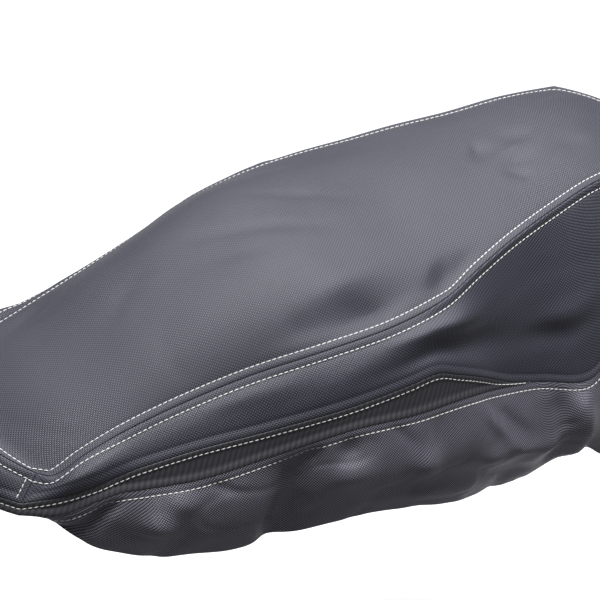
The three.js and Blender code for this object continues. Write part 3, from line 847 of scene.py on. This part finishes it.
# Cloth of each piece: thickness in millimetres, flat width and length in metres, and area in
# square metres.
panelCloth = {"thick": 1.8, "face": embossedVinyl, "slot": "panel_vinyl", "held": "stretched"}
clothSettings = {
    "top": {**panelCloth, "flat": (0.352, 0.846), "area": 0.205},
    "right": {**panelCloth, "flat": (0.15, 0.77), "area": 0.074},
    "left": {**panelCloth, "flat": (0.15, 0.77), "area": 0.074},
    "front": {**panelCloth, "flat": (0.13, 0.26), "area": 0.027},
    "rear": {**panelCloth, "flat": (0.05, 0.26), "area": 0.0101},
    "band": {**panelCloth, "face": gripVinyl, "slot": "grip_vinyl", "flat": (0.04, 1.38),
             "area": 0.0347},
    "skirt": {"thick": 1.4, "face": coatedNylon, "slot": "skirt_nylon", "held": "gathered",
              "flat": (0.2, 2.1), "area": 0.24},
}


def makeCloth():
    for key, settings in clothSettings.items():
        patch = patches[key]
        piece = clothPiece(patch, settings["thick"])
        piece.data.materials.append(settings["face"])
        piece.data.materials.append(coatedNylon if key == "skirt" else backing)
        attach(piece, "root")
        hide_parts(patch["name"])
        patch["piece"] = piece
        print("cloth", patch["name"], len(piece.data.polygons))


makeCloth()

# Off-white bonded thread: long stitches with small gaps, each turned a little off its row.
stitchSettings = {
    "length": 4.9,
    "pitch": 5.7,
    "radius": 0.54,
    "slant": 5,
    "turnVary": 2.5,
    "longVary": (0.96, 1.03),
    "blunt": 0.7,
    "taper": 0.25,     # how much thinner the thread is at its ends
    "flat": 0.8,       # how much lower than wide it is
    "proud": 0.34,
    "sunk": 0.45,      # how far its ends go down into the cloth
    "colour": "#e4e3de",
    "shade": "#c9c8c2",
}


def threadMaterial():
    material, tree = newMaterial("bonded polyester thread")
    place = addNode(tree, "ShaderNodeTexCoord")
    ply = addNode(tree, "ShaderNodeTexNoise", {0: place.outputs["Object"]},
                  {"Scale": 1500, "Detail": 2})
    tone = addNode(tree, "ShaderNodeMix", {0: ply.outputs[0]},
                   {6: linear(stitchSettings["shade"]), 7: linear(stitchSettings["colour"])},
                   data_type="RGBA")
    shader = addNode(tree, "ShaderNodeBsdfPrincipled", {"Base Color": tone.outputs[2]},
                     {"Roughness": 0.55, "IOR": 1.5, "Sheen Weight": 0.2})
    addNode(tree, "ShaderNodeOutputMaterial", {0: shader.outputs[0]})
    return material


thread = threadMaterial()


def rowInside(patch, edge, distance):
    # The line on the cloth that keeps a distance to one of its edges, with normals.
    outer, normals = patch["outer"], patch["normals"]
    if edge in ("rear", "front"):
        outer, normals = outer.transpose(1, 0, 2), normals.transpose(1, 0, 2)
    if edge in ("upper", "left", "front"):
        outer, normals = outer[:, ::-1], normals[:, ::-1]
    reach = stepLengths(outer, 1)
    line = []
    for k, goal in enumerate(np.broadcast_to(distance, len(outer)) * mm):
        j = int(np.searchsorted(reach[k], goal)) - 1
        j = max(0, min(j, len(reach[k]) - 2))
        t = (goal - reach[k][j]) / max(reach[k][j + 1] - reach[k][j], 1e-9)
        point = outer[k, j] * (1 - t) + outer[k, j + 1] * t
        normal = normals[k, j] * (1 - t) + normals[k, j + 1] * t
        line.append((Vector(point), Vector(normal).normalized()))
    return line


def keepAway(line, others, distance):
    # Drops the ends of a line that come nearer than a distance to other edges.
    corners = [Vector(p) for p in others]
    return [item for item in line if min((item[0] - c).length for c in corners) >= distance * mm]


def stitchShape():
    # One stitch, a unit long each way from its middle, blunt at both ends.
    bm = bmesh.new()
    bmesh.ops.create_uvsphere(bm, u_segments=7, v_segments=6, radius=1)
    for vert in bm.verts:
        vert.co.z = math.copysign(abs(vert.co.z) ** stitchSettings["blunt"], vert.co.z)
    for face in bm.faces:
        face.smooth = True
    mesh = bpy.data.meshes.new("stitch_shape")
    bm.to_mesh(mesh)
    bm.free()
    return mesh


oneStitch = stitchShape()


def lineWalker(line):
    # Gives the place and the normal at a distance along a line, and its length.
    places = [0]
    for (a, _), (b, _) in zip(line, line[1:]):
        places.append(places[-1] + (b - a).length)

    def lineAt(s):
        k = int(np.searchsorted(places, s)) - 1
        k = max(0, min(k, len(line) - 2))
        t = (s - places[k]) / max(places[k + 1] - places[k], 1e-9)
        return line[k][0].lerp(line[k + 1][0], t), line[k][1].lerp(line[k + 1][1], t).normalized()

    return lineAt, places[-1]


def addStitch(bm, start, end, middle, up):
    # One stitch from start to end, turned a little and bent to the cloth under its middle.
    radius = stitchSettings["radius"] * mm
    along = (end - start).normalized()
    vary = stitchSettings["turnVary"]
    turn = math.radians(stitchSettings["slant"] + random.uniform(-vary, vary))
    along.rotate(Matrix.Rotation(turn, 3, up))
    side = up.cross(along).normalized()
    up = along.cross(side)
    basis = Matrix((along, side, up)).transposed()
    half = (end - start).length / 2 * random.uniform(*stitchSettings["longVary"])
    centre = (start + end) / 2
    bend = (middle - centre).dot(up)
    bm.from_mesh(oneStitch)
    bm.verts.ensure_lookup_table()
    for vert in bm.verts[-len(oneStitch.vertices):]:
        t = vert.co.z
        wide = radius * (1 - stitchSettings["taper"] * t * t)
        proud = (stitchSettings["proud"] - stitchSettings["sunk"] * t * t) * mm
        high = vert.co.y * wide * stitchSettings["flat"] + bend + proud
        vert.co = centre + basis @ Vector((t * half, vert.co.x * wide, high))


def sewRow(name, lines, closed=False):
    # Lays a stitch on every pitch of a line on the cloth.
    bm = bmesh.new()
    usual = stitchSettings["pitch"] * mm
    count = 0
    for line in lines:
        lineAt, total = lineWalker(line + line[:1] if closed else line)
        stitches = max(1, round(total / usual))
        pitch = total / stitches
        long = stitchSettings["length"] * mm * pitch / usual
        for n in range(stitches):
            at = (n + 0.5) * pitch
            middle, up = lineAt(at)
            addStitch(bm, lineAt(at - long / 2)[0], lineAt(at + long / 2)[0], middle, up)
        count += stitches
    mesh = bpy.data.meshes.new(name)
    bm.to_mesh(mesh)
    bm.free()
    row = bpy.data.objects.new(name, mesh)
    bpy.context.scene.collection.objects.link(row)
    row.data.materials.append(thread)
    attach(row, "root")
    print("stitches", name, count)


# How far the other rows lie from their seams. The rows beside the main seam keep seam["sewn"].
sewing = {
    "band": 7,
    "bandShare": 0.5,      # where the band is narrow its row runs along its middle
    "bandLeast": 2.5,      # and it stops where the band is narrower than this
    "skirt": 9.2,
    "corner": 7.2,
    "cornerEnds": (8, 6),  # an eighth of each is left free at its foot, a sixth at its head
}


def chain(*lines):
    return [item for line in lines for item in line]


def sewCover():
    top, band, skirt = patches["top"], patches["band"], patches["skirt"]
    near = seam["sewn"]
    rear, front = top["outer"][0], top["outer"][-1]
    sides = np.concatenate([top["outer"][:, 0], top["outer"][:, -1]])
    ends = np.concatenate([rear, front])
    right = keepAway(rowInside(top, "lower", near), ends, near)
    left = keepAway(rowInside(top, "upper", near), ends, near)
    rearRow = keepAway(rowInside(top, "rear", near), sides, near)
    frontRow = keepAway(rowInside(top, "front", near), sides, near)
    sewRow("topstitch_top_panel", [chain(right, frontRow, left[::-1], rearRow[::-1])], closed=True)
    order = ("right", "front", "left", "rear")
    walls = [rowInside(patches[key], "upper", near)[:-1] for key in order]
    sewRow("topstitch_side_panels", [chain(*walls)], closed=True)
    wide = stepLengths(band["outer"], 1)[:, -1] / mm
    bandRow = rowInside(band, "upper", np.minimum(sewing["band"], sewing["bandShare"] * wide))
    least = sewing["bandLeast"]
    sewRow("topstitch_grip_band", [[item for item, w in zip(bandRow, wide) if w > least]])
    sewRow("topstitch_skirt", [rowInside(skirt, "upper", sewing["skirt"])[:-1]], closed=True)
    foot, head = sewing["cornerEnds"]
    corners = []
    for key in ("rear", "front"):
        for edge in ("rear", "front"):
            line = rowInside(patches[key], edge, sewing["corner"])
            corners.append(line[len(line) // foot:-len(line) // head])
    sewRow("topstitch_corner_seams", corners)


sewCover()

# Photograph's angle: a long lens, well above and to the right rear of the cover.
cameraSettings = {
    "lens": 133.2,
    "place": (-0.917, -1.569, 1.3314),
    "aim": (-0.017, -0.0105, -0.1006),
    "sensor": 36,
    "clip": (0.1, 50),
}


def makeCamera():
    data = bpy.data.cameras.new("photo_camera")
    data.lens = cameraSettings["lens"]
    data.sensor_width = cameraSettings["sensor"]
    data.clip_start, data.clip_end = cameraSettings["clip"]
    camera = bpy.data.objects.new("photo_camera", data)
    bpy.context.scene.collection.objects.link(camera)
    place, aim = Vector(cameraSettings["place"]), Vector(cameraSettings["aim"])
    camera.location = place
    camera.rotation_euler = (aim - place).to_track_quat("-Z", "Y").to_euler()
    bpy.context.scene.camera = camera


makeCamera()

# A white sheet on a grey floor, far below the cover, under soft light from above.
studio = {
    "floorZ": -0.95,
    "floor": {"wide": 14, "place": (0, 0), "above": 0, "colour": "#8a8a8c",
              "paint": "grey studio floor"},
    "sheet": {"wide": 2.6, "place": (0.78, 1.36), "above": 0.002, "colour": "#f6f6f6",
              "paint": "matte white paper"},
    "world": 0.22,
    "worldColour": "#f4f5fa",
    "key": {"place": (0.32, -0.14, 2.0), "aim": (0, 0, 0), "size": 0.9, "power": 98,
            "colour": "#fbfbff"},
    "back": {"place": (0.5, 1.6, 1.6), "aim": (0.5, 1.0, -0.95), "size": 1.6, "power": 42,
             "colour": "#ffffff"},
}


def makeGround(name):
    plane = studio[name]
    bm = bmesh.new()
    bmesh.ops.create_grid(bm, x_segments=1, y_segments=1, size=plane["wide"] / 2)
    middle = Vector((*plane["place"], studio["floorZ"] + plane["above"]))
    bmesh.ops.translate(bm, vec=middle, verts=bm.verts[:])
    mesh = bpy.data.meshes.new("studio_" + name)
    bm.to_mesh(mesh)
    bm.free()
    ground = bpy.data.objects.new("studio_" + name, mesh)
    bpy.context.scene.collection.objects.link(ground)
    material, tree = newMaterial(plane["paint"])
    shader = addNode(tree, "ShaderNodeBsdfPrincipled", values={
        "Base Color": linear(plane["colour"]), "Roughness": 0.9, "Specular IOR Level": 0.1})
    addNode(tree, "ShaderNodeOutputMaterial", {0: shader.outputs[0]})
    ground.data.materials.append(material)


def makeLight(name):
    lamp = studio[name]
    data = bpy.data.lights.new(name + "_light", "AREA")
    data.shape = "DISK"
    data.size = lamp["size"]
    data.energy = lamp["power"]
    data.color = linear(lamp["colour"])[:3]
    light = bpy.data.objects.new(name + "_light", data)
    bpy.context.scene.collection.objects.link(light)
    place, aim = Vector(lamp["place"]), Vector(lamp["aim"])
    light.location = place
    light.rotation_euler = (aim - place).to_track_quat("-Z", "Y").to_euler()


def makeStudio():
    makeGround("floor")
    makeGround("sheet")
    world = bpy.data.worlds.new("studio")
    world.use_nodes = True
    world.node_tree.nodes["Background"].inputs[0].default_value = linear(studio["worldColour"])
    world.node_tree.nodes["Background"].inputs[1].default_value = studio["world"]
    bpy.context.scene.world = world
    makeLight("key")
    makeLight("back")
    bpy.context.scene.view_settings.view_transform = "Standard"
    bpy.context.scene.view_settings.look = "None"


makeStudio()
print("studio ready")
